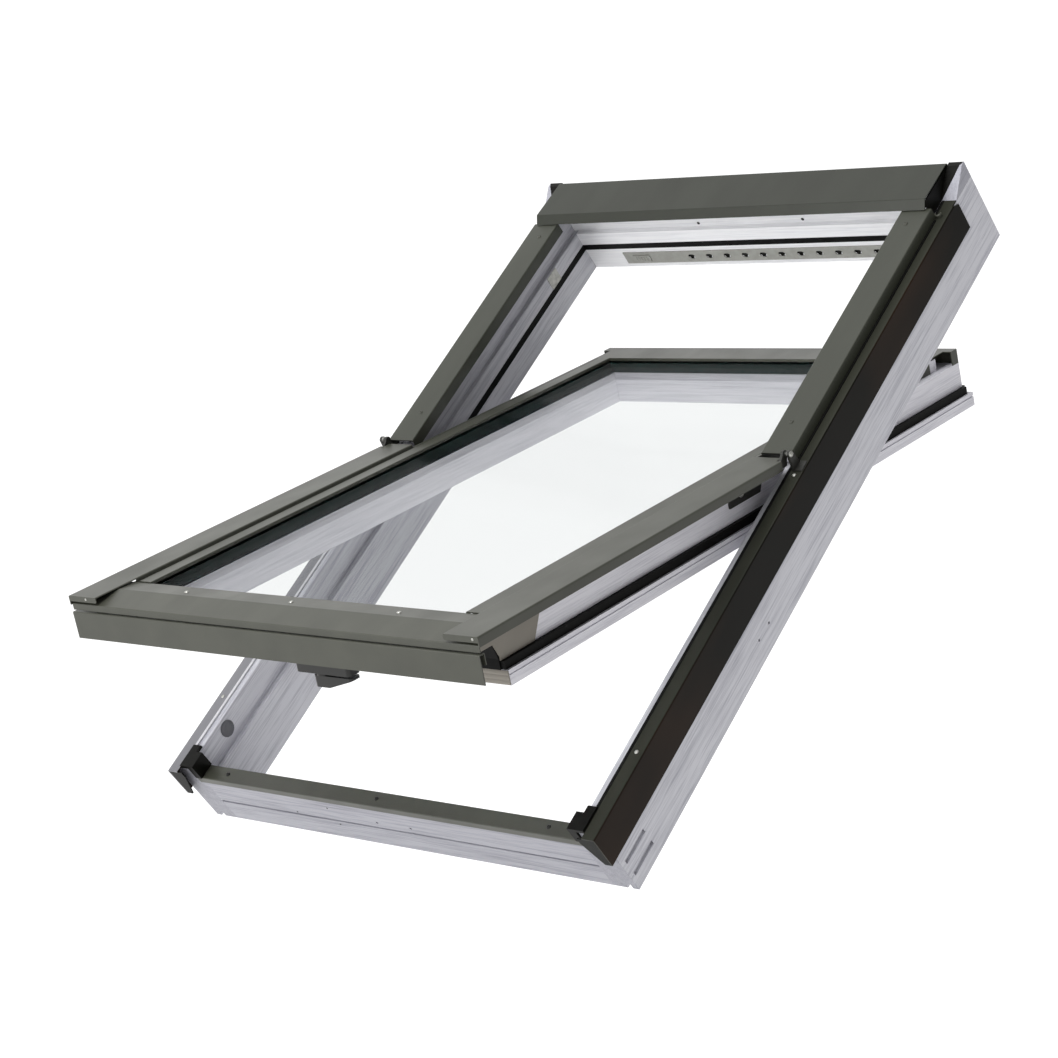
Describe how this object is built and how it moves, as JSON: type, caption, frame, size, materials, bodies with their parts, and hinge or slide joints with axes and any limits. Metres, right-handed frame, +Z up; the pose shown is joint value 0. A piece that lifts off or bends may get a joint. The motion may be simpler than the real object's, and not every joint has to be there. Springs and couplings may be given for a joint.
{
  "type": "centre pivot window",
  "caption": "Centre pivot roof window: white timber frame and tilted sash, double glazing, olive grey metal covers, hood and a handle under the bottom rail.",
  "frame": {"origin": "middle of the sill's room-side face, which lies on the roof's own slope", "axes": "+X across the window, +Y horizontal towards the ridge, +Z up; the frame is pitched at 45 degrees"},
  "size_m": [0.784, 1.1284, 0.9355],
  "materials": {
    "frame_timber": "white lacquered pine",
    "sash_timber": "white lacquered pine",
    "seal_rubber": "matt extruded rubber",
    "cover_aluminium": "satin olive grey coating",
    "dark_profile": "satin dark brown coating",
    "black_plastic": "matt moulded",
    "grey_plastic": "matt moulded",
    "plated_steel": "zinc plated",
    "pivot_metal": "dark coated steel",
    "glass": "clear float glass",
    "spacer_metal": "black spacer and sealant",
    "handle_metal": "dark satin anodised"
  },
  "bodies": {
    "frame": {"left_jamb": "frame_timber", "right_jamb": "frame_timber", "sill": "frame_timber", "head": "frame_timber", "left_frame_seal": "seal_rubber", "right_frame_seal": "seal_rubber", "head_seal": "seal_rubber", "left_flashing_profile": "dark_profile", "right_flashing_profile": "dark_profile", "left_weather_strip": "seal_rubber", "right_weather_strip": "seal_rubber", "left_upper_cover": "cover_aluminium", "right_upper_cover": "cover_aluminium", "hood": "cover_aluminium", "left_hood_cap": "black_plastic", "right_hood_cap": "black_plastic", "sill_cover": "cover_aluminium", "left_sill_end_piece": "black_plastic", "right_sill_end_piece": "black_plastic", "air_inlet": "grey_plastic", "inlet_slider": "grey_plastic", "left_bolt_socket": "plated_steel", "right_bolt_socket": "plated_steel", "left_latch_plate": "plated_steel", "right_latch_plate": "plated_steel", "left_pivot_bracket": "pivot_metal", "right_pivot_bracket": "pivot_metal", "left_profile_end": "black_plastic", "right_profile_end": "black_plastic", "left_corner_block": "frame_timber", "right_corner_block": "frame_timber"},
    "sash": {"left_stile": "sash_timber", "right_stile": "sash_timber", "top_rail": "sash_timber", "bottom_rail": "sash_timber", "left_sash_seal": "seal_rubber", "right_sash_seal": "seal_rubber", "top_seal": "seal_rubber", "nose_seal": "seal_rubber", "outer_pane": "glass", "inner_pane": "glass", "pane_spacer": "spacer_metal", "left_glazing_bead": "cover_aluminium", "right_glazing_bead": "cover_aluminium", "left_edge_cover": "cover_aluminium", "right_edge_cover": "cover_aluminium", "left_lower_cover": "cover_aluminium", "right_lower_cover": "cover_aluminium", "top_cover": "cover_aluminium", "bottom_cover": "cover_aluminium", "skirt": "cover_aluminium", "left_side_plate": "cover_aluminium", "right_side_plate": "cover_aluminium", "left_hinge_plate": "pivot_metal", "right_hinge_plate": "pivot_metal", "handle_base": "handle_metal"},
    "handle": {"handle_lever": "handle_metal"}
  },
  "joints": [
    {"name": "sash_pivot", "type": "hinge", "parent": "frame", "child": "sash", "pos_m": [0, 0.3189, 0.51972], "axis": [-1, 0, 0], "range_deg": [-28, 147]},
    {"name": "handle_turn", "type": "hinge", "parent": "sash", "child": "handle", "pos_m": [0, -0.17323, 0.24483], "axis": [0, -0.2924, 0.9563], "range_deg": [0, 90]}
  ]
}
